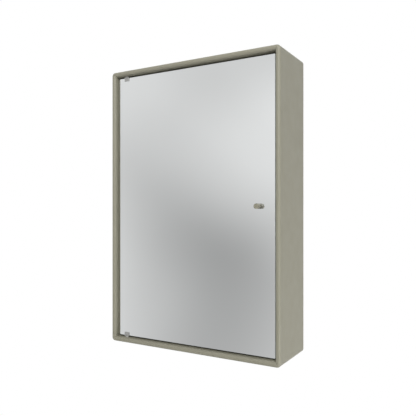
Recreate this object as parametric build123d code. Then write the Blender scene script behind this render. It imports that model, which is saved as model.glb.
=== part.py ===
from build123d import *
import os
from math import hypot, sqrt

# A wall-hung mirror cabinet: a mitred case of lacquered board round an inset, double-sided mirror door
# that turns on two pivot clamps, with glass shelves inside and a steel rail that carries it on the wall.
# Sizes are in millimetres. X runs to the right, Y runs back to the wall and Z runs up.
# The origin is on the wall, midway between the two screw holes of the wall rail.

# Case
cabinet_width = 468.0
cabinet_height = 696.0
cabinet_depth = 148.0
board_thickness = 12.0
corner_radius = 9.0  # rounding of the four outer edges that run front to back
outer_edge_radius = 5.0  # rounding of the front edge on its outer side
inner_edge_radius = 6.5  # rounding of the front edge on its inner side
front_flat = 0.3  # least flat left between the two roundings
rail_drop = 60.0  # from the top of the case down to the screw holes of the wall rail
fit_clearance = 0.05  # play all round a piece that is glued, pressed or screwed into place

# Loose tongues glued across the mitres
tongue_thickness = 3.0
tongue_shift = 2.0  # from the middle of the mitre towards the inside of the case
tongue_cover = 2.8  # board left outside the tongue
tongue_front_inset = 30.0
tongue_back_inset = 10.0
mitre_angle = 45.0

# Back panel in its grooves
back_thickness = 4.0
groove_depth = 5.0
groove_end_gap = 0.5

# Mirror door
door_recess = 12.3  # from the front of the case to the face of the mirror
door_side_gap = 4.0
door_end_gap = 4.0
pane_thickness = 3.0
film_thickness = 0.4
pane_corner_radius = 1.5
pane_arris = 0.3

# Pivot clamps, which are the same at the top and the bottom of the door
clamp_inset = 25.0  # from the hinge edge of the door to the pivot axis
clamp_width = 14.0
clamp_front_plate = 1.2
clamp_back_plate = 3.5
clamp_front_cover = 8.0  # height of glass that the front plate covers
clamp_back_cover = 16.0
clamp_edge_radius = 0.5
liner_thickness = 0.5
liner_side_inset = 0.3
set_screw_radius = 2.0
set_screw_spacing = 6.5
set_screw_drop = 9.0  # from the end of the glass to the screws
set_screw_proud = 0.5
socket_sides = 6
pivot_radius = 2.0
pivot_running_clearance = 0.05
pivot_end_gap = 0.5
thrust_gap = 0.1
bushing_radius = 3.5
bushing_flange_radius = 5.5
bushing_flange = 1.0
bushing_floor = 1.0
bushing_cover = 3.0  # board left past the end of the bushing

# Knob
knob_radius = 6.0
knob_length = 16.2
knob_inset = 38.3  # from the opening edge of the door to the middle of the knob
knob_front_radius = 0.8
knob_thread_depth = 8.0
knob_thread_end_gap = 1.0
knob_screw_radius = 2.0
knob_screw_head_radius = 4.0
knob_screw_head_height = 2.4
knob_washer_radius = 5.4
knob_washer_thickness = 0.6
knob_sleeve_wall = 1.5

# Magnetic catch on the opening side
catch_width = 13.0
catch_depth = 16.0
catch_height = 30.0
catch_ear_height = 10.0
catch_ear_thickness = 3.0
catch_edge_radius = 0.8
catch_gap = 0.2
magnet_width = 7.0
magnet_depth = 9.0
magnet_height = 22.0
catch_screw_radius = 1.5
catch_screw_head_radius = 3.0
catch_screw_head_height = 1.6
catch_screw_grip = 7.0
strike_thickness = 1.0
strike_width = 9.0
strike_height = 28.0
strike_edge_inset = 1.5

# Glass shelves and their pins
shelf_count = 3
shelf_thickness = 5.0
shelf_side_gap = 1.0
shelf_back_gap = 1.0
shelf_swing_gap = 4.0  # from the turning edge of the door to the shelves
shelf_arris = 0.5
pin_radius = 2.5
pin_cover = 4.0  # board left past the end of a pin hole
pin_lug_radius = 3.5
pin_lug_length = 9.0
pin_flat_height = 2.0  # from the middle of the pin up to the flat that holds the glass
pin_shelf_inset = 14.0
pin_hole_pitch = 32.0
pin_hole_steps = (-1, 0, 1)

# Wall rail and the two brackets that hook over it
rail_steel = 2.0
rail_below = 18.0
rail_above = 12.0
rail_end_gap = 12.0
lip_standoff = 5.5  # free space between the lip and the wall
lip_rise = 13.5
wall_hole_radius = 2.75
wall_hole_inset = 60.0
hook_steel = 2.0
hook_play = 0.5
hook_drop = 8.5  # how far the hook reaches down behind the lip
hook_reach = 45.0  # length of the hook along the rail
bracket_below = 16.0
bracket_panel_gap = 1.0
bracket_screw_radius = 2.0
bracket_screw_head_radius = 3.5
bracket_screw_head_height = 2.2
bracket_screw_grip = 9.0
bracket_screw_space = 1.0  # free space round a screw head
bracket_screw_heights = (-8.0, 16.0)

# Cross recess in every screw head
recess_share = 0.6  # depth of the recess in a head of height one
recess_reach = 0.55  # half length of the recess in a head of radius one
recess_width = 0.7

# Planes of the case
half_width = cabinet_width / 2
inner_x = half_width - board_thickness
top_z = rail_drop
bottom_z = top_z - cabinet_height
centre_z = (top_z + bottom_z) / 2
inner_top = top_z - board_thickness
inner_bottom = bottom_z + board_thickness
inner_reach_z = (inner_top - inner_bottom) / 2
front_y = -cabinet_depth
outer_round = min(outer_edge_radius, corner_radius)
inner_round = min(inner_edge_radius, board_thickness - outer_round - front_flat)

# Planes of the hanging parts, counted out from the wall
lip_front = -(lip_standoff + rail_steel)
hook_front = lip_front - hook_play - hook_steel
bracket_screw_y = hook_front - bracket_screw_space - bracket_screw_head_radius
bracket_front = bracket_screw_y - bracket_screw_head_radius - bracket_screw_space
back_panel_rear = bracket_front - bracket_panel_gap
back_panel_front = back_panel_rear - back_thickness
lip_top = rail_above + lip_rise

# Planes of the door
door_x = inner_x - door_side_gap
door_top = inner_top - door_end_gap
door_bottom = inner_bottom + door_end_gap
glass_front = front_y + door_recess
film_front = glass_front + pane_thickness
film_back = film_front + film_thickness
glass_back = film_back + pane_thickness
pivot_x = -door_x + clamp_inset
pivot_y = (glass_front + glass_back) / 2
swing_radius = hypot(clamp_inset, (glass_back - glass_front) / 2)
web_top = inner_top - bushing_flange - thrust_gap
bushing_end = inner_top + board_thickness - bushing_cover
knob_x = door_x - knob_inset
knob_back = glass_front - knob_washer_thickness
knob_sleeve_radius = knob_screw_radius + fit_clearance + knob_sleeve_wall

# Planes of the shelves and the catch
shelf_front = pivot_y + swing_radius + shelf_swing_gap
shelf_back = back_panel_front - shelf_back_gap
shelf_room = inner_top - inner_bottom - shelf_count * shelf_thickness
shelf_space = shelf_room / (shelf_count + 1)
shelf_bottoms = [
    inner_bottom + (number + 1) * shelf_space + number * shelf_thickness
    for number in range(shelf_count)
]
pin_columns = (shelf_front + pin_shelf_inset, shelf_back - pin_shelf_inset)
pin_depth = board_thickness - pin_cover
strike_back = glass_back + strike_thickness
catch_front = strike_back + catch_gap
strike_right = door_x - strike_edge_inset
strike_middle_x = strike_right - strike_width / 2
catch_screw_heights = [
    centre_z + side * (catch_height + catch_ear_height) / 2 for side in (-1, 1)
]
catch_screw_y = catch_front + catch_depth / 2


def block(x_limits, y_limits, z_limits):
    """Return a box between three pairs of limits."""
    limits = (x_limits, y_limits, z_limits)
    sizes = [high - low for low, high in limits]
    middles = [(high + low) / 2 for low, high in limits]
    return Pos(*middles) * Box(*sizes)


def rod_x(radius, x_limits, y, z):
    """Return a round bar along X."""
    low, high = x_limits
    return Pos((low + high) / 2, y, z) * Rot(0, 90, 0) * Cylinder(radius, high - low)


def rod_y(radius, x, y_limits, z):
    """Return a round bar along Y."""
    low, high = y_limits
    return Pos(x, (low + high) / 2, z) * Rot(90, 0, 0) * Cylinder(radius, high - low)


def rod_z(radius, x, y, z_limits):
    """Return a round bar along Z."""
    low, high = z_limits
    return Pos(x, y, (low + high) / 2) * Cylinder(radius, high - low)


def upside_down(shape):
    """Return the bottom copy of a piece that is modelled at the top of the door."""
    return mirror(shape, about=Plane.XY.offset(centre_z))


def screw(head_radius, head_height, shank_radius, shank_length):
    """Return a pan head screw whose head rests on the plane z = 0 and whose shank runs up from it."""
    head = rod_z(head_radius, 0, 0, (-head_height, 0))
    head = fillet(head.edges().group_by(Axis.Z)[0], head_height / 2)
    shank = rod_z(shank_radius, 0, 0, (0, shank_length))
    arm = head_radius * recess_reach
    depth = (-head_height, -head_height * (1 - recess_share))
    slot = (-recess_width / 2, recess_width / 2)
    cross = block((-arm, arm), slot, depth) + block(slot, (-arm, arm), depth)
    return head + shank - cross


def make_case():
    """Return the whole case as one ring, with its outer edges rounded."""
    outer = block((-half_width, half_width), (front_y, 0), (bottom_z, top_z))
    outer = fillet(outer.edges().filter_by(Axis.Y), corner_radius)
    outer = fillet(outer.faces().sort_by(Axis.Y)[0].edges(), outer_round)
    return outer - block((-inner_x, inner_x), (front_y, 0), (inner_bottom, inner_top))


def make_back_panel():
    """Return the back panel, which sits in grooves in all four boards."""
    reach = groove_depth - groove_end_gap
    return block(
        (-inner_x - reach, inner_x + reach),
        (back_panel_front, back_panel_rear),
        (inner_bottom - reach, inner_top + reach),
    )


def make_groove():
    """Return the space that the grooves of the four boards take away."""
    return block(
        (-inner_x - groove_depth, inner_x + groove_depth),
        (back_panel_front - fit_clearance, back_panel_rear + fit_clearance),
        (inner_bottom - groove_depth, inner_top + groove_depth),
    )


def make_tongue(side_x, side_z, clearance):
    """Return the loose tongue across one mitre, or the slot for it when there is a clearance."""
    depth = board_thickness / 2 + tongue_shift / sqrt(2)
    half_thickness = tongue_thickness / 2
    reach = (board_thickness / 2 - tongue_cover) * sqrt(2) + tongue_shift - half_thickness
    long_side = 2 * (reach + clearance)
    short_side = 2 * (half_thickness + clearance)
    y_front = front_y + tongue_front_inset - clearance
    y_back = back_panel_front - tongue_back_inset + clearance
    place = Pos(
        side_x * (half_width - depth),
        (y_front + y_back) / 2,
        centre_z + side_z * (cabinet_height / 2 - depth),
    )
    return place * Rot(0, mitre_angle * side_x * side_z, 0) * Box(long_side, y_back - y_front, short_side)


def corner_point(side_x, side_z, inset):
    """Return the X and Z of a point on the mitre line of one corner, a distance in from the outside."""
    return side_x * (half_width - inset), centre_z + side_z * (cabinet_height / 2 - inset)


def inner_rounding(side_x, side_z):
    """Return what the rounding takes off the inner front edge of the board on one side."""
    y_limits = (front_y, front_y + inner_round)
    rod_y_place = front_y + inner_round
    if side_x:
        height = (bottom_z, top_z)
        waste = block(side_span(side_x, inner_x, inner_round), y_limits, height)
        return waste - rod_z(inner_round, side_x * (inner_x + inner_round), rod_y_place, height)
    width = (-half_width, half_width)
    inner_z = centre_z + side_z * inner_reach_z
    rod_z_place = inner_z + side_z * inner_round
    waste = block(width, y_limits, sorted((inner_z, rod_z_place)))
    return waste - rod_x(inner_round, width, rod_y_place, rod_z_place)


def cut_board(case, first, second):
    """Cut one board from the case between two corners, mitred at both ends and rounded inside."""
    reach = 2 * board_thickness
    points = (
        corner_point(*first, 0),
        corner_point(*second, 0),
        corner_point(*second, reach),
        corner_point(*first, reach),
    )
    wedge = extrude(Plane.XZ * Polygon(*points, align=None), amount=cabinet_depth, dir=(0, -1, 0))
    side_x = (first[0] + second[0]) // 2
    side_z = (first[1] + second[1]) // 2
    return (case & wedge) - inner_rounding(side_x, side_z)


def make_boards():
    """Return the top, bottom, left and right boards with their bores, slots and grooves."""
    case = make_case() - make_groove()
    for side_x in (-1, 1):
        for side_z in (-1, 1):
            case = case - make_tongue(side_x, side_z, fit_clearance)
    top = cut_board(case, (-1, 1), (1, 1))
    bottom = cut_board(case, (-1, -1), (1, -1))
    left = cut_board(case, (-1, -1), (-1, 1))
    right = cut_board(case, (1, -1), (1, 1))
    bushing_bore = rod_z(bushing_radius + fit_clearance, pivot_x, pivot_y, (inner_top, bushing_end))
    top = top - bushing_bore
    bottom = bottom - upside_down(bushing_bore)
    left = left - pin_holes(-1) - bracket_pilot_holes(-1)
    right = right - pin_holes(1) - bracket_pilot_holes(1) - catch_pilot_holes()
    return top, bottom, left, right


def side_span(side, start, length):
    """Return X limits that start on one side's plane and run outwards by a length."""
    return tuple(sorted((side * start, side * (start + length))))


def pin_axis(shelf_bottom):
    """Return the height of the pins that hold a shelf."""
    return shelf_bottom - pin_flat_height


def pin_holes(side):
    """Return the rows of holes for shelf pins in one side board."""
    holes = []
    for shelf_bottom in shelf_bottoms:
        for step in pin_hole_steps:
            z = pin_axis(shelf_bottom) + step * pin_hole_pitch
            for y in pin_columns:
                holes.append(rod_x(pin_radius + fit_clearance, side_span(side, inner_x, pin_depth), y, z))
    return holes


def bracket_pilot_holes(side):
    """Return the pilot holes for the bracket screws in one side board."""
    span = side_span(side, inner_x, bracket_screw_grip + fit_clearance)
    radius = bracket_screw_radius + fit_clearance
    return [rod_x(radius, span, bracket_screw_y, z) for z in bracket_screw_heights]


def catch_pilot_holes():
    """Return the pilot holes for the catch screws in the right board."""
    span = side_span(1, inner_x, catch_screw_grip + fit_clearance)
    radius = catch_screw_radius + fit_clearance
    return [rod_x(radius, span, catch_screw_y, z) for z in catch_screw_heights]


def make_shelf(shelf_bottom):
    """Return one glass shelf with ground edges."""
    edge_x = inner_x - shelf_side_gap
    top = shelf_bottom + shelf_thickness
    glass = block((-edge_x, edge_x), (shelf_front, shelf_back), (shelf_bottom, top))
    return chamfer(glass.edges(), shelf_arris)


def make_shelf_pin(side, y, shelf_bottom):
    """Return one shelf pin: a peg in the board and a lug with a flat under the glass."""
    z = pin_axis(shelf_bottom)
    peg = rod_x(pin_radius, side_span(side, inner_x, pin_depth - fit_clearance), y, z)
    lug_span = side_span(side, inner_x - pin_lug_length, pin_lug_length)
    lug = rod_x(pin_lug_radius, lug_span, y, z)
    above = block(
        lug_span,
        (y - pin_lug_radius, y + pin_lug_radius),
        (shelf_bottom, z + pin_lug_radius),
    )
    return peg + (lug - above)


def make_pane(y_front, y_back, outer_face):
    """Return one mirror pane with the knob hole and a ground arris round its outer face."""
    pane = block((-door_x, door_x), (y_front, y_back), (door_bottom, door_top))
    pane = fillet(pane.edges().filter_by(Axis.Y), pane_corner_radius)
    pane = chamfer(pane.faces().sort_by(Axis.Y)[outer_face].edges(), pane_arris)
    hole = rod_y(knob_sleeve_radius + fit_clearance, knob_x, (y_front, y_back), centre_z)
    return pane - hole


def make_film():
    """Return the bonding film between the two panes."""
    film = block((-door_x, door_x), (film_front, film_back), (door_bottom, door_top))
    film = fillet(film.edges().filter_by(Axis.Y), pane_corner_radius)
    hole = rod_y(knob_sleeve_radius + fit_clearance, knob_x, (film_front, film_back), centre_z)
    return film - hole


def set_screw_places():
    """Return the X places of the two set screws of a clamp."""
    return [pivot_x + side * set_screw_spacing / 2 for side in (-1, 1)]


def make_clamp():
    """Return the top pivot clamp, a U over the edge of the glass with threaded holes behind."""
    width = (pivot_x - clamp_width / 2, pivot_x + clamp_width / 2)
    front_face = glass_front - liner_thickness - clamp_front_plate
    back_face = glass_back + liner_thickness + clamp_back_plate
    front_height = (door_top - clamp_front_cover, web_top)
    back_height = (door_top - clamp_back_cover, web_top)
    front = block(width, (front_face, glass_front - liner_thickness), front_height)
    back = block(width, (glass_back + liner_thickness, back_face), back_height)
    web = block(width, (front_face, back_face), (door_top + liner_thickness, web_top))
    clamp = front + back + web
    front_rim = clamp.faces().sort_by(Axis.Y)[0].edges()
    back_rim = clamp.faces().sort_by(Axis.Y)[-1].edges()
    clamp = fillet(front_rim + back_rim, clamp_edge_radius)
    clamp = clamp - rod_z(pivot_radius + fit_clearance, pivot_x, pivot_y, (door_top, web_top))
    screw_z = door_top - set_screw_drop
    for x in set_screw_places():
        clamp = clamp - rod_y(set_screw_radius + fit_clearance, x, (glass_back, back_face), screw_z)
    return clamp


def make_liner():
    """Return the soft liner between the top clamp and the glass."""
    half = clamp_width / 2 - liner_side_inset
    width = (pivot_x - half, pivot_x + half)
    outer_front = glass_front - liner_thickness
    outer_back = glass_back + liner_thickness
    liner_top = door_top + liner_thickness
    front = block(width, (outer_front, glass_front), (door_top - clamp_front_cover, liner_top))
    back = block(width, (glass_back, outer_back), (door_top - clamp_back_cover, liner_top))
    web = block(width, (outer_front, outer_back), (door_top, liner_top))
    return front + back + web


def make_set_screw(x):
    """Return one set screw behind the top clamp, with a hexagon socket."""
    z = door_top - set_screw_drop
    start = glass_back + liner_thickness
    end = start + clamp_back_plate + set_screw_proud
    body = rod_y(set_screw_radius, x, (start, end), z)
    socket_radius = set_screw_radius / 2
    socket_plane = Plane(origin=(x, end, z), x_dir=(1, 0, 0), z_dir=(0, 1, 0))
    socket = extrude(socket_plane * RegularPolygon(socket_radius, socket_sides), amount=-set_screw_radius)
    return body - socket


def make_pivot_pin():
    """Return the pin that stands out of the top clamp into its bushing."""
    end = bushing_end - fit_clearance - bushing_floor - pivot_end_gap
    pin = rod_z(pivot_radius, pivot_x, pivot_y, (door_top + liner_thickness, end))
    return chamfer(pin.edges().group_by(Axis.Z)[-1], pivot_end_gap)


def make_bushing():
    """Return the flanged bushing in the top board."""
    end = bushing_end - fit_clearance
    flange_face = inner_top - bushing_flange
    sleeve = rod_z(bushing_radius, pivot_x, pivot_y, (flange_face, end))
    flange = rod_z(bushing_flange_radius, pivot_x, pivot_y, (flange_face, inner_top))
    bore_radius = pivot_radius + pivot_running_clearance
    bore = rod_z(bore_radius, pivot_x, pivot_y, (flange_face, end - bushing_floor))
    return sleeve + flange - bore


def make_knob():
    """Return the turned knob with its threaded hole."""
    knob_front = knob_back - knob_length
    knob = rod_y(knob_radius, knob_x, (knob_front, knob_back), centre_z)
    knob = fillet(knob.edges().group_by(Axis.Y)[0], knob_front_radius)
    thread_end = knob_back - knob_thread_depth - knob_thread_end_gap
    return knob - rod_y(knob_screw_radius + fit_clearance, knob_x, (thread_end, knob_back), centre_z)


def make_knob_washer(y_front):
    """Return one of the soft washers between the knob or its screw and the glass."""
    span = (y_front, y_front + knob_washer_thickness)
    disc = rod_y(knob_washer_radius, knob_x, span, centre_z)
    return disc - rod_y(knob_screw_radius + fit_clearance, knob_x, span, centre_z)


def make_knob_sleeve():
    """Return the sleeve that centres the screw in the hole through the panes."""
    span = (glass_front, glass_back)
    tube = rod_y(knob_sleeve_radius, knob_x, span, centre_z)
    return tube - rod_y(knob_screw_radius + fit_clearance, knob_x, span, centre_z)


def make_knob_screw():
    """Return the screw that holds the knob from behind the door."""
    head_face = glass_back + knob_washer_thickness
    length = head_face - knob_back + knob_thread_depth
    bolt = screw(knob_screw_head_radius, knob_screw_head_height, knob_screw_radius, length)
    return Pos(knob_x, head_face, centre_z) * Rot(90, 0, 0) * bolt


def make_strike():
    """Return the steel plate on the back of the door that the magnet holds."""
    half = strike_width / 2
    plate = block(
        (strike_middle_x - half, strike_middle_x + half),
        (glass_back, strike_back),
        (centre_z - strike_height / 2, centre_z + strike_height / 2),
    )
    return fillet(plate.edges().filter_by(Axis.Y), strike_thickness)


def magnet_limits():
    """Return the limits of the magnet, which faces the middle of the strike plate."""
    half = magnet_width / 2
    return (
        (strike_middle_x - half, strike_middle_x + half),
        (catch_front, catch_front + magnet_depth),
        (centre_z - magnet_height / 2, centre_z + magnet_height / 2),
    )


def make_magnet():
    """Return the magnet of the catch."""
    return block(*magnet_limits())


def make_catch_body():
    """Return the housing of the catch, with two ears that are screwed to the right board."""
    depth = (catch_front, catch_front + catch_depth)
    half = catch_height / 2
    body = block((inner_x - catch_width, inner_x), depth, (centre_z - half, centre_z + half))
    body = fillet(body.edges().filter_by(Axis.Y).group_by(Axis.X)[0], catch_edge_radius)
    ear_half = half + catch_ear_height
    ear_span = (inner_x - catch_ear_thickness, inner_x)
    ears = block(ear_span, depth, (centre_z - ear_half, centre_z + ear_half))
    ears = fillet(ears.edges().filter_by(Axis.X), catch_edge_radius)
    x_limits, y_limits, z_limits = magnet_limits()
    pocket = block(
        (x_limits[0] - fit_clearance, x_limits[1] + fit_clearance),
        (y_limits[0], y_limits[1] + fit_clearance),
        (z_limits[0] - fit_clearance, z_limits[1] + fit_clearance),
    )
    body = body + ears - pocket
    for z in catch_screw_heights:
        body = body - rod_x(catch_screw_radius + fit_clearance, ear_span, catch_screw_y, z)
    return body


def make_catch_screws():
    """Return the two screws of the catch."""
    length = catch_ear_thickness + catch_screw_grip
    bolt = screw(catch_screw_head_radius, catch_screw_head_height, catch_screw_radius, length)
    head_x = inner_x - catch_ear_thickness
    return [Pos(head_x, catch_screw_y, z) * Rot(0, 90, 0) * bolt for z in catch_screw_heights]


def make_wall_rail():
    """Return the steel rail on the wall, with a lip along its top and two screw holes."""
    half = inner_x - rail_end_gap
    length = (-half, half)
    plate = block(length, (-rail_steel, 0), (-rail_below, rail_above))
    step = block(length, (lip_front, 0), (rail_above - rail_steel, rail_above))
    lip = block(length, (lip_front, lip_front + rail_steel), (rail_above - rail_steel, lip_top))
    rail = plate + step + lip
    hole_x = half - wall_hole_inset
    for x in (-hole_x, hole_x):
        rail = rail - rod_y(wall_hole_radius, x, (-rail_steel, 0), 0)
    return rail


def make_bracket(side):
    """Return one hanging bracket, screwed to a side board and hooked over the lip of the rail."""
    edge = inner_x - hook_steel
    hook_span = side_span(side, edge - hook_reach, hook_reach)
    side_plate_span = side_span(side, edge, hook_steel)
    hook_top = lip_top + hook_steel
    hook_back = -(lip_standoff - hook_play - hook_steel)
    height = (-bracket_below, hook_top)
    leg = block(hook_span, (hook_front, hook_front + hook_steel), height)
    bridge = block(hook_span, (hook_front, hook_back), (lip_top, hook_top))
    tongue = block(hook_span, (hook_back - hook_steel, hook_back), (lip_top - hook_drop, hook_top))
    side_plate = block(side_plate_span, (bracket_front, hook_front + hook_steel), height)
    bracket = leg + bridge + tongue + side_plate
    for z in bracket_screw_heights:
        hole = rod_x(bracket_screw_radius + fit_clearance, side_plate_span, bracket_screw_y, z)
        bracket = bracket - hole
    return bracket


def make_bracket_screws(side):
    """Return the two screws of one hanging bracket."""
    length = hook_steel + bracket_screw_grip
    bolt = screw(bracket_screw_head_radius, bracket_screw_head_height, bracket_screw_radius, length)
    head_x = side * (inner_x - hook_steel)
    return [
        Pos(head_x, bracket_screw_y, z) * Rot(0, 90 * side, 0) * bolt for z in bracket_screw_heights
    ]


def make_parts():
    """Return every piece of the cabinet under its name, as a list of separate solids."""
    top, bottom, left, right = make_boards()
    clamp = make_clamp()
    liner = make_liner()
    pivot_pin = make_pivot_pin()
    bushing = make_bushing()
    set_screws = [make_set_screw(x) for x in set_screw_places()]
    parts = {
        "top_panel": [top],
        "bottom_panel": [bottom],
        "left_side_panel": [left],
        "right_side_panel": [right],
        "back_panel": [make_back_panel()],
        "corner_tongues": [make_tongue(x, z, 0) for x in (-1, 1) for z in (-1, 1)],
        "front_mirror_pane": [make_pane(glass_front, film_front, 0)],
        "bonding_film": [make_film()],
        "rear_mirror_pane": [make_pane(film_back, glass_back, -1)],
        "hinge_clamp_top": [clamp],
        "hinge_clamp_bottom": [upside_down(clamp)],
        "clamp_liners": [liner, upside_down(liner)],
        "clamp_set_screws": set_screws + [upside_down(screw_piece) for screw_piece in set_screws],
        "pivot_pin_top": [pivot_pin],
        "pivot_pin_bottom": [upside_down(pivot_pin)],
        "pivot_bushing_top": [bushing],
        "pivot_bushing_bottom": [upside_down(bushing)],
        "knob": [make_knob()],
        "knob_washers": [make_knob_washer(knob_back), make_knob_washer(glass_back)],
        "knob_sleeve": [make_knob_sleeve()],
        "knob_screw": [make_knob_screw()],
        "strike_plate": [make_strike()],
        "catch_housing": [make_catch_body()],
        "catch_magnet": [make_magnet()],
        "catch_screws": make_catch_screws(),
        "wall_rail": [make_wall_rail()],
        "hanging_bracket_left": [make_bracket(-1)],
        "hanging_bracket_right": [make_bracket(1)],
        "bracket_screws": make_bracket_screws(-1) + make_bracket_screws(1),
        "shelf_pins": [
            make_shelf_pin(side, y, shelf_bottom)
            for shelf_bottom in shelf_bottoms
            for side in (-1, 1)
            for y in pin_columns
        ],
    }
    for number, shelf_bottom in enumerate(shelf_bottoms, start=1):
        parts[f"glass_shelf_{number}"] = [make_shelf(shelf_bottom)]
    return parts


os.makedirs("parts", exist_ok=True)
for name, pieces in make_parts().items():
    solids = [solid for piece in pieces for solid in piece.solids()]
    export_step(Compound(children=solids), f"parts/{name}.step")
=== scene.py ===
"""The looks of the mirror cabinet: its finishes, the studio round it and the camera.

Everything is in metres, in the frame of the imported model. X runs to the right, Y back to the wall, Z up.
"""

import math

import bpy
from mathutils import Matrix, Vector

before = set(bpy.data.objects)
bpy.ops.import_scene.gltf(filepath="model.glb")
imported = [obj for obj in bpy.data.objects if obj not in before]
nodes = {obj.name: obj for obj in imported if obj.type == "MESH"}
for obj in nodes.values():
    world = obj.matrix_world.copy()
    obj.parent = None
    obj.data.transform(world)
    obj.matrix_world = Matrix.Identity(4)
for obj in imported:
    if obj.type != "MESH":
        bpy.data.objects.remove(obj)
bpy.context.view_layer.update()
scene = bpy.context.scene


class Finish:
    """A Principled material and the nodes that vary it, in the piece's own coordinates."""

    def __init__(self, name, color, roughness, **values):
        self.material = bpy.data.materials.new(name)
        self.material.use_nodes = True
        self.tree = self.material.node_tree
        self.shader = next(n for n in self.tree.nodes if n.type == "BSDF_PRINCIPLED")
        self.place = self.node("ShaderNodeTexCoord")
        self.shader.inputs["Base Color"].default_value = (*color, 1)
        self.shader.inputs["Roughness"].default_value = roughness
        for socket, value in values.items():
            self.shader.inputs[socket.replace("_", " ")].default_value = value

    def node(self, kind, values=None, **settings):
        """Add a node, with settings as its own properties and values as those of its inputs."""
        made = self.tree.nodes.new(kind)
        for name, value in settings.items():
            setattr(made, name, value)
        for name, value in (values or {}).items():
            made.inputs[name].default_value = value
        return made

    def link(self, source, target):
        """Join an output socket to an input socket."""
        self.tree.links.new(source, target)

    def stretched(self, stretch):
        """Return the piece's own coordinates, drawn out along each axis by that much."""
        if stretch is None:
            return self.place.outputs["Object"]
        mapping = self.node("ShaderNodeMapping", {"Scale": [1 / s for s in stretch]})
        self.link(self.place.outputs["Object"], mapping.inputs["Vector"])
        return mapping.outputs["Vector"]

    def noise(self, size, detail=2.0, stretch=None):
        """Return a soft noise from 0 to 1, with patches of that size."""
        made = self.node("ShaderNodeTexNoise", {"Scale": 1 / size, "Detail": detail})
        self.link(self.stretched(stretch), made.inputs["Vector"])
        return made.outputs["Fac"]

    def cells(self, size, output="Distance"):
        """Return a cell pattern, with cells of that size."""
        made = self.node("ShaderNodeTexVoronoi", {"Scale": 1 / size})
        self.link(self.place.outputs["Object"], made.inputs["Vector"])
        return made.outputs[output]

    def spread(self, source, low, high, first=0.3, last=0.7):
        """Return source with first to last brought to low to high."""
        made = self.node(
            "ShaderNodeMapRange",
            {"From Min": first, "From Max": last, "To Min": low, "To Max": high},
        )
        self.link(source, made.inputs["Value"])
        return made.outputs["Result"]

    def faces_along(self, axis, least):
        """Return 1 where the surface faces along that axis, either way, and 0 elsewhere."""
        size = self.node("ShaderNodeVectorMath", operation="ABSOLUTE")
        self.link(self.place.outputs["Normal"], size.inputs[0])
        parts = self.node("ShaderNodeSeparateXYZ")
        self.link(size.outputs["Vector"], parts.inputs["Vector"])
        made = self.node("ShaderNodeMath", {1: least}, operation="GREATER_THAN")
        self.link(parts.outputs[axis], made.inputs[0])
        return made.outputs["Value"]

    def mix_colors(self, source, first, last):
        """Return a colour that goes from first to last as source goes from 0 to 1."""
        made = self.node("ShaderNodeMix", data_type="RGBA")
        for socket, color in ((made.inputs[6], first), (made.inputs[7], last)):
            if isinstance(color, bpy.types.NodeSocket):
                self.link(color, socket)
            else:
                socket.default_value = (*color, 1)
        self.link(source, made.inputs["Factor"])
        return made.outputs[2]

    def set_from(self, socket, source):
        """Drive one of the shader's sockets."""
        self.link(source, self.shader.inputs[socket])

    def bump(self, source, height):
        """Raise the surface by up to that height where source is high, on top of earlier bumps."""
        made = self.node("ShaderNodeBump", {"Distance": height, "Strength": 1.0})
        self.link(source, made.inputs["Height"])
        normal = self.shader.inputs["Normal"]
        if normal.is_linked:
            self.link(normal.links[0].from_socket, made.inputs["Normal"])
        self.link(made.outputs["Normal"], normal)


def shade(color, share):
    """Return a colour brought up or down by that share of itself."""
    return [c * (1 + share) for c in color]


GREIGE = (0.288, 0.276, 0.210)
MIRROR = (0.90, 0.915, 0.915)
GLASS_EDGE = (0.62, 0.74, 0.69)
FROSTED = (0.80, 0.84, 0.82)
CLEAR_GLASS = (0.97, 0.99, 0.98)
SHELF_EDGE = (0.55, 0.78, 0.70)
THROUGH_GLASS = (0.90, 0.95, 0.93)

# How squarely a surface faces along an axis, from 0 to 1
FACE = 0.9
FACE_OR_ARRIS = 0.4


def sprayed_lacquer(name, color, roughness, peel):
    """Matt lacquer: faint clouds in its colour, and the fine skin that spraying leaves."""
    made = Finish(name, color, roughness, Specular_IOR_Level=0.5)
    clouds = made.noise(0.16, detail=3)
    grain = made.noise(0.0014, detail=1)
    tone = made.mix_colors(made.spread(clouds, 0, 1), shade(color, -0.015), shade(color, 0.015))
    speck = made.mix_colors(made.spread(grain, 0, 1), shade(color, -0.012), shade(color, 0.012))
    both = made.node("ShaderNodeMix", {"Factor": 0.5}, data_type="RGBA")
    made.link(tone, both.inputs[6])
    made.link(speck, both.inputs[7])
    made.set_from("Base Color", both.outputs[2])
    made.set_from("Roughness", made.spread(made.noise(0.03), roughness - 0.04, roughness + 0.05))
    made.bump(made.noise(0.0032, detail=1), peel)
    made.bump(made.noise(0.0005, detail=2), peel * 0.12)
    return made


def mirror_glass(name):
    """Silvered glass: a mirror over its wide faces, frosted arrises and pale green ground edges."""
    made = Finish(name, MIRROR, 0.02, Specular_IOR_Level=0.5)
    silver = made.faces_along("Y", FACE)
    arris = made.faces_along("Y", FACE_OR_ARRIS)
    film = made.noise(0.09, detail=4)
    clear = made.mix_colors(made.spread(film, 0, 1), shade(MIRROR, -0.004), shade(MIRROR, 0.004))
    ground = made.mix_colors(arris, GLASS_EDGE, FROSTED)
    made.set_from("Base Color", made.mix_colors(silver, ground, clear))
    made.set_from("Metallic", silver)
    rough = made.node("ShaderNodeMix", data_type="FLOAT")
    made.link(silver, rough.inputs["Factor"])
    made.link(made.spread(made.noise(0.001), 0.30, 0.42), rough.inputs[2])
    made.link(made.spread(film, 0.008, 0.02), rough.inputs[3])
    made.set_from("Roughness", rough.outputs[0])
    return made


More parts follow.
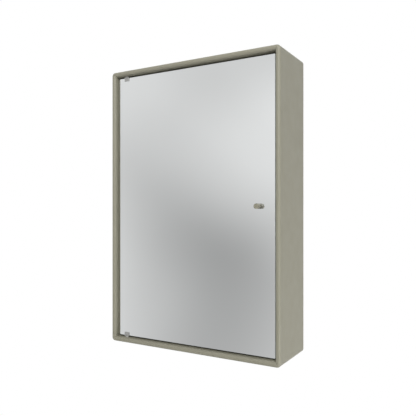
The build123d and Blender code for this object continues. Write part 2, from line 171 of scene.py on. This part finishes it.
def brushed_metal(name, color, roughness, stretch, depth, mottle=0.05):
    """Metal with fine lines left by brushing or rolling."""
    made = Finish(name, color, roughness, Metallic=1.0)
    lines = made.noise(0.0003, detail=2, stretch=stretch)
    clouds = made.noise(0.012, detail=3)
    made.set_from(
        "Base Color",
        made.mix_colors(made.spread(clouds, 0, 1), shade(color, -mottle), shade(color, mottle)),
    )
    made.set_from("Roughness", made.spread(lines, roughness - 0.07, roughness + 0.07))
    made.bump(lines, depth)
    return made


def galvanised_steel(name, color):
    """Zinc with its crystals, each with a tone of its own."""
    made = Finish(name, color, 0.4, Metallic=1.0)
    parts = made.node("ShaderNodeSeparateColor")
    made.link(made.cells(0.007, "Color"), parts.inputs["Color"])
    crystal = parts.outputs["Red"]
    made.set_from("Base Color", made.mix_colors(crystal, shade(color, -0.14), shade(color, 0.12)))
    made.set_from("Roughness", made.spread(crystal, 0.34, 0.5, 0, 1))
    made.bump(made.noise(0.0009), 0.00002)
    return made


def moulded_plastic(name, color, roughness, grain, depth, **values):
    """Plastic with the fine spark texture of its mould."""
    made = Finish(name, color, roughness, **values)
    texture = made.noise(grain, detail=2)
    made.set_from(
        "Base Color",
        made.mix_colors(made.spread(texture, 0, 1), shade(color, -0.04), shade(color, 0.04)),
    )
    made.set_from("Roughness", made.spread(made.noise(0.006), roughness - 0.05, roughness + 0.05))
    made.bump(texture, depth)
    return made


def plywood(name, color):
    """Thin birch plies, shown as one grain drawn out along the piece's Y axis."""
    made = Finish(name, color, 0.6)
    grain = made.noise(0.0012, detail=3, stretch=(1, 14, 1))
    made.set_from(
        "Base Color",
        made.mix_colors(made.spread(grain, 0, 1), shade(color, -0.22), shade(color, 0.1)),
    )
    made.set_from("Roughness", made.spread(grain, 0.7, 0.5))
    made.bump(grain, 0.00008)
    return made


def shelf_glass(name):
    """Clear float glass: greener where it is seen through its edges, and open to the lamps."""
    made = Finish(name, CLEAR_GLASS, 0.01, Transmission_Weight=1.0, IOR=1.52)
    wide = made.faces_along("Z", FACE)
    made.set_from("Base Color", made.mix_colors(wide, SHELF_EDGE, CLEAR_GLASS))
    rough = made.node("ShaderNodeMix", data_type="FLOAT")
    made.link(wide, rough.inputs["Factor"])
    made.link(made.spread(made.noise(0.001), 0.08, 0.2), rough.inputs[2])
    made.link(made.spread(made.noise(0.05), 0.0, 0.015), rough.inputs[3])
    made.set_from("Roughness", rough.outputs[0])
    let_lamps_through(made, THROUGH_GLASS)
    return made


def let_lamps_through(made, color):
    """Let the light of lamps pass through clear glass, tinted by that colour."""
    output = next(n for n in made.tree.nodes if n.type == "OUTPUT_MATERIAL")
    path = made.node("ShaderNodeLightPath")
    clear = made.node("ShaderNodeBsdfTransparent", {"Color": (*color, 1)})
    both = made.node("ShaderNodeMixShader")
    made.link(path.outputs["Is Shadow Ray"], both.inputs[0])
    made.link(made.shader.outputs["BSDF"], both.inputs[1])
    made.link(clear.outputs["BSDF"], both.inputs[2])
    made.link(both.outputs["Shader"], output.inputs["Surface"])


finishes = {
    "lacquered_board": sprayed_lacquer("board_lacquer", GREIGE, 0.46, 0.000012),
    "lacquered_back": sprayed_lacquer("back_lacquer", shade(GREIGE, 0.01), 0.5, 0.000016),
    "lacquered_knob": sprayed_lacquer("knob_lacquer", GREIGE, 0.42, 0.000015),
    "mirror_glass": mirror_glass("mirror"),
    "shelf_glass": shelf_glass("clear_glass"),
    "bonding_film": moulded_plastic("film", (0.25, 0.26, 0.26), 0.6, 0.002, 0.00002),
    "satin_steel": brushed_metal("satin_nickel", (0.42, 0.42, 0.41), 0.42, (1, 1, 40), 0.000004),
    "bright_steel": brushed_metal("bright_zinc", (0.70, 0.71, 0.72), 0.28, (12, 12, 12), 0.000004),
    "dark_steel": brushed_metal("black_oxide", (0.16, 0.16, 0.17), 0.42, (12, 12, 12), 0.000006),
    "zinc_steel": galvanised_steel("zinc_coat", (0.56, 0.58, 0.59)),
    "clear_plastic": moulded_plastic(
        "clear_soft_plastic", (0.86, 0.88, 0.87), 0.35, 0.0009, 0.00001, Transmission_Weight=0.7
    ),
    "white_nylon": moulded_plastic("nylon", (0.80, 0.80, 0.77), 0.42, 0.0006, 0.00001),
    "grey_plastic": moulded_plastic("catch_plastic", (0.36, 0.36, 0.34), 0.48, 0.0007, 0.00002),
    "magnet_ferrite": moulded_plastic("ferrite", (0.05, 0.05, 0.055), 0.5, 0.0004, 0.00003),
    "plywood_tongue": plywood("birch_plies", (0.66, 0.52, 0.36)),
}
for piece in nodes.values():
    for place in piece.material_slots:
        place.material = finishes[place.material.name].material

# The front mirror throws no light on the recess and the knob.
nodes["front_mirror_pane"].visible_diffuse = False


# Studio
FLOOR_Z = -1.886
FLOOR_HALF = 60
FLOOR_TONE = 0.82
FLOOR_GLOW = 0.35
FLOOR_LIT_RADIUS = 2.5
FLOOR_FADE = 0.5
CARD_RADIUS = 2.6
CARD_TOP = 2.2
CARD_SPAN = math.radians(105)
CARD_STEPS = 64
CARD_LEVEL = 0.667
PATCH_DEPTH = 3
MIDDLE = Vector((0, -0.07, -0.288))


def studio_tree(name):
    """Return an empty material for a piece of the studio, with its node tree."""
    material = bpy.data.materials.new(name)
    material.use_nodes = True
    material.node_tree.nodes.clear()
    return material, material.node_tree


def seen_as_background(tree):
    """Return 1 for a ray from the camera, or one that shows what metal and glass reflect."""
    path = tree.nodes.new("ShaderNodeLightPath")
    either = None
    for name in ("Is Camera Ray", "Is Glossy Ray", "Is Transmission Ray"):
        source = path.outputs[name]
        if either is None:
            either = source
            continue
        larger = tree.nodes.new("ShaderNodeMath")
        larger.operation = "MAXIMUM"
        tree.links.new(either, larger.inputs[0])
        tree.links.new(source, larger.inputs[1])
        either = larger.outputs["Value"]
    return either


def make_world(level):
    """A plain white surround for the camera, metal and glass, and an even light for the rest."""
    world = bpy.data.worlds.new("studio")
    scene.world = world
    world.use_nodes = True
    tree = world.node_tree
    tree.nodes.clear()
    light = tree.nodes.new("ShaderNodeBackground")
    light.inputs["Strength"].default_value = level
    white = tree.nodes.new("ShaderNodeBackground")
    for shader in (light, white):
        shader.inputs["Color"].default_value = (1, 1, 1, 1)
    both = tree.nodes.new("ShaderNodeMixShader")
    output = tree.nodes.new("ShaderNodeOutputWorld")
    tree.links.new(seen_as_background(tree), both.inputs[0])
    tree.links.new(light.outputs["Background"], both.inputs[1])
    tree.links.new(white.outputs["Background"], both.inputs[2])
    tree.links.new(both.outputs["Shader"], output.inputs["Surface"])


def make_floor():
    """A pale floor that takes the cabinet's shadow near by and is plain white further off."""
    mesh = bpy.data.meshes.new("floor")
    half = FLOOR_HALF
    corners = [(-half, -half, 0), (half, -half, 0), (half, half, 0), (-half, half, 0)]
    mesh.from_pydata(corners, [], [(0, 1, 2, 3)])
    floor = bpy.data.objects.new("floor", mesh)
    floor.location = (0, -0.1, FLOOR_Z)
    scene.collection.objects.link(floor)
    material, tree = studio_tree("floor")
    mesh.materials.append(material)
    matt = tree.nodes.new("ShaderNodeBsdfDiffuse")
    matt.inputs["Color"].default_value = (FLOOR_TONE, FLOOR_TONE, FLOOR_TONE, 1)
    glow = tree.nodes.new("ShaderNodeEmission")
    glow.inputs["Strength"].default_value = FLOOR_GLOW
    lit = tree.nodes.new("ShaderNodeAddShader")
    plain = tree.nodes.new("ShaderNodeEmission")
    near = tree.nodes.new("ShaderNodeMixShader")
    both = tree.nodes.new("ShaderNodeMixShader")
    output = tree.nodes.new("ShaderNodeOutputMaterial")
    place = tree.nodes.new("ShaderNodeTexCoord")
    reach = tree.nodes.new("ShaderNodeMapping")
    reach.inputs["Scale"].default_value = [1 / FLOOR_LIT_RADIUS] * 3
    fade = tree.nodes.new("ShaderNodeTexGradient")
    fade.gradient_type = "SPHERICAL"
    soften = tree.nodes.new("ShaderNodeMapRange")
    soften.interpolation_type = "SMOOTHSTEP"
    soften.inputs["From Max"].default_value = FLOOR_FADE
    links = tree.links
    links.new(place.outputs["Object"], reach.inputs["Vector"])
    links.new(reach.outputs["Vector"], fade.inputs["Vector"])
    links.new(fade.outputs["Fac"], soften.inputs["Value"])
    links.new(matt.outputs["BSDF"], lit.inputs[0])
    links.new(glow.outputs["Emission"], lit.inputs[1])
    links.new(soften.outputs["Result"], near.inputs[0])
    links.new(plain.outputs["Emission"], near.inputs[1])
    links.new(lit.outputs["Shader"], near.inputs[2])
    links.new(seen_as_background(tree), both.inputs[0])
    links.new(matt.outputs["BSDF"], both.inputs[1])
    links.new(near.outputs["Shader"], both.inputs[2])
    links.new(both.outputs["Shader"], output.inputs["Surface"])


def make_card(patches):
    """A curved card in front of the cabinet that shows only in reflections: grey, with soft patches.

    A patch is its angle from straight ahead to the left, its height, its half width, its half height,
    its lean and its strength. The angles are in degrees.
    """
    rows = []
    for step in range(CARD_STEPS + 1):
        angle = CARD_SPAN * (2 * step / CARD_STEPS - 1)
        x = -CARD_RADIUS * math.sin(angle)
        y = -CARD_RADIUS * math.cos(angle)
        rows += [(x, y, FLOOR_Z), (x, y, CARD_TOP)]
    faces = [(2 * i, 2 * i + 1, 2 * i + 3, 2 * i + 2) for i in range(CARD_STEPS)]
    mesh = bpy.data.meshes.new("card")
    mesh.from_pydata(rows, [], faces)
    card = bpy.data.objects.new("card", mesh)
    scene.collection.objects.link(card)
    for ray in ("camera", "diffuse", "shadow", "transmission", "volume_scatter"):
        setattr(card, "visible_" + ray, False)
    material, tree = studio_tree("card")
    mesh.materials.append(material)
    place = tree.nodes.new("ShaderNodeTexCoord")
    total = None
    for angle, height, wide, tall, lean, strength in patches:
        mapping = tree.nodes.new("ShaderNodeMapping")
        mapping.vector_type = "TEXTURE"
        turn = math.radians(angle)
        mapping.inputs["Location"].default_value = (
            -CARD_RADIUS * math.sin(turn),
            -CARD_RADIUS * math.cos(turn),
            height,
        )
        mapping.inputs["Rotation"].default_value = (0, math.radians(lean), -turn)
        mapping.inputs["Scale"].default_value = (wide, PATCH_DEPTH, tall)
        glow = tree.nodes.new("ShaderNodeTexGradient")
        glow.gradient_type = "SPHERICAL"
        smooth = tree.nodes.new("ShaderNodeMapRange")
        smooth.interpolation_type = "SMOOTHERSTEP"
        smooth.inputs["To Max"].default_value = strength
        tree.links.new(place.outputs["Object"], mapping.inputs["Vector"])
        tree.links.new(mapping.outputs["Vector"], glow.inputs["Vector"])
        tree.links.new(glow.outputs["Fac"], smooth.inputs["Value"])
        add = tree.nodes.new("ShaderNodeMath")
        add.inputs[0].default_value = CARD_LEVEL
        if total is not None:
            tree.links.new(total, add.inputs[0])
        tree.links.new(smooth.outputs["Result"], add.inputs[1])
        total = add.outputs["Value"]
    shown = tree.nodes.new("ShaderNodeEmission")
    output = tree.nodes.new("ShaderNodeOutputMaterial")
    tree.links.new(total, shown.inputs["Strength"])
    tree.links.new(shown.outputs["Emission"], output.inputs["Surface"])


def make_lamp(name, place, size, power, in_metal=True):
    """A square soft lamp that faces the cabinet. Without in_metal, glossy pieces don't mirror it."""
    data = bpy.data.lights.new(name, "AREA")
    data.size = size
    data.energy = power
    lamp = bpy.data.objects.new(name, data)
    lamp.location = place
    lamp.rotation_euler = (MIDDLE - Vector(place)).to_track_quat("-Z", "Y").to_euler()
    lamp.visible_glossy = in_metal
    scene.collection.objects.link(lamp)


make_world(0.06)
make_floor()
# A program fitted CARD_LEVEL and the first four patches to the photograph's mirror.
make_card(
    [
        (34, -0.96, 1.49, 1.98, 17, -0.80),
        (47, -1.06, 2.19, 1.72, -12, 0.77),
        (17, 0.16, 1.38, 0.83, -24, 0.22),
        (31, 0.21, 3.50, 0.61, 38, 0.11),
        (-75, -0.3, 1.20, 3.20, 0, 0.45),
    ]
)
make_lamp("key", (1.9, -3.1, 1.5), 2.0, 109)
make_lamp("top", (0.1, -2.0, 1.9), 1.4, 15)
make_lamp("left", (-2.8, -2.4, 0.6), 2.0, 17)
make_lamp("low", (1.9, -0.35, -1.45), 1.0, 18)
make_lamp("back", (-2.6, 2.6, 0.5), 2.0, 45, in_metal=False)


# Camera
CAMERA_PLACE = (0.6413, -1.1530, -0.29596)
CAMERA_TURN = math.radians(30.184)
FOCAL_LENGTH = 43.481
SENSOR_WIDTH = 36
SHIFT = (-0.000546, 0.0043)

camera_data = bpy.data.cameras.new("camera")
camera_data.sensor_width = SENSOR_WIDTH
camera_data.lens = FOCAL_LENGTH
camera_data.shift_x, camera_data.shift_y = SHIFT
camera = bpy.data.objects.new("camera", camera_data)
camera.location = CAMERA_PLACE
camera.rotation_euler = (math.radians(90), 0, CAMERA_TURN)
scene.collection.objects.link(camera)
scene.camera = camera
scene.view_settings.view_transform = "Standard"
